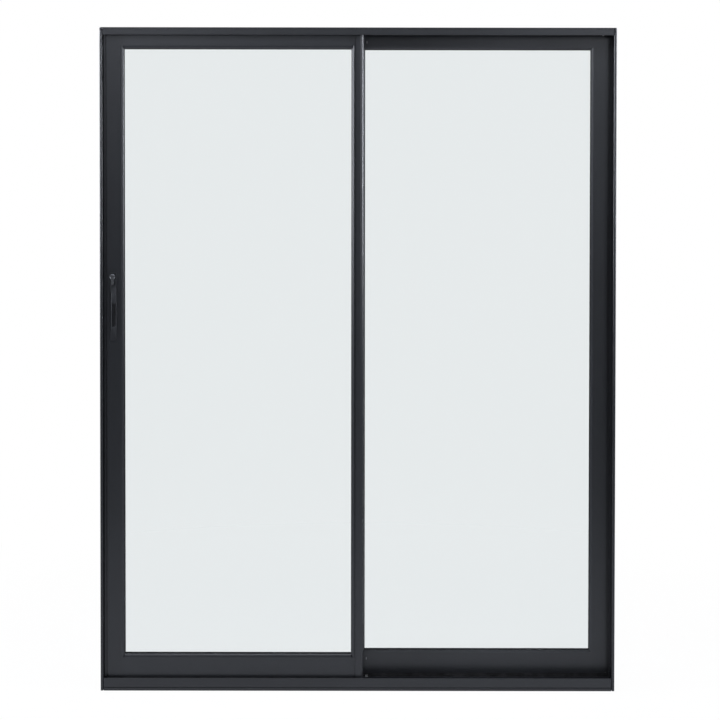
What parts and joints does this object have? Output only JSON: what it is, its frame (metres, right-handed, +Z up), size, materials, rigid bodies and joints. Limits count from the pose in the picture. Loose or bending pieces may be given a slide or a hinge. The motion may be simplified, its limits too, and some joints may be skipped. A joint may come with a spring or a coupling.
{
  "type": "sliding patio door",
  "caption": "Sliding patio door: aluminium frame, fixed glazed panel behind a sliding glazed panel on rollers, slim raised pull with a finger cup and a thumb turn.",
  "frame": {"origin": "middle of the sill's flat underside, halfway along its length and depth", "axes": "+X along the wall from the sliding panel to the fixed panel as seen from the room, +Y from the room to outdoors, +Z up"},
  "size_m": [1.574, 0.114, 2.03],
  "materials": {
    "frame_aluminium": "satin",
    "panel_aluminium": "satin",
    "glass": "gloss",
    "spacer_aluminium": "satin",
    "black_rubber": "matte",
    "pile_seal": "matte",
    "steel": "satin",
    "black_nylon": "matte",
    "handle_metal": "satin",
    "turn_metal": "satin"
  },
  "bodies": {
    "door_frame": {"fixed_bottom_rail": "panel_aluminium", "fixed_glass_spacer": "spacer_aluminium", "fixed_glazing_gasket": "black_rubber", "fixed_interlock": "panel_aluminium", "fixed_interlock_seal": "pile_seal", "fixed_jamb": "frame_aluminium", "fixed_jamb_seal": "pile_seal", "fixed_jamb_stile": "panel_aluminium", "fixed_meeting_stile": "panel_aluminium", "fixed_pane_inside": "glass", "fixed_pane_outside": "glass", "fixed_panel_clip": "steel", "fixed_sill_seal": "pile_seal", "fixed_support_blocks": "black_nylon", "fixed_top_blocks": "black_nylon", "fixed_top_rail": "panel_aluminium", "head_rear_seal": "pile_seal", "head_seal": "pile_seal", "head_stop_block": "black_nylon", "head_track": "frame_aluminium", "lock_jamb": "frame_aluminium", "lock_jamb_seal": "pile_seal", "lock_keeper": "steel", "sill_track": "frame_aluminium", "sill_track_cap": "steel"},
    "sliding_panel": {"handle_plate": "handle_metal", "lock_case": "steel", "lock_faceplate": "steel", "lock_hook": "steel", "outside_pull": "handle_metal", "roller_carriage_left": "steel", "roller_carriage_right": "steel", "roller_wheel_left": "steel", "roller_wheel_right": "steel", "sliding_bottom_rail": "panel_aluminium", "sliding_glass_spacer": "spacer_aluminium", "sliding_glazing_gasket": "black_rubber", "sliding_interlock": "panel_aluminium", "sliding_interlock_seal": "pile_seal", "sliding_lock_stile": "panel_aluminium", "sliding_meeting_stile": "panel_aluminium", "sliding_pane_inside": "glass", "sliding_pane_outside": "glass", "sliding_sill_seal": "pile_seal", "sliding_stile_cap": "black_nylon", "sliding_top_guides": "black_nylon", "sliding_top_rail": "panel_aluminium"},
    "thumb_turn": {"thumb_turn": "turn_metal"}
  },
  "joints": [
    {"name": "panel_slide", "type": "slide", "parent": "door_frame", "child": "sliding_panel", "axis": [1, 0, 0], "range_m": [0, 0.6895]},
    {"name": "thumb_turn_pivot", "type": "hinge", "parent": "sliding_panel", "child": "thumb_turn", "pos_m": [-0.7485, -0.0424, 1.269], "axis": [0, -1, 0], "range_deg": [0, 90]}
  ]
}
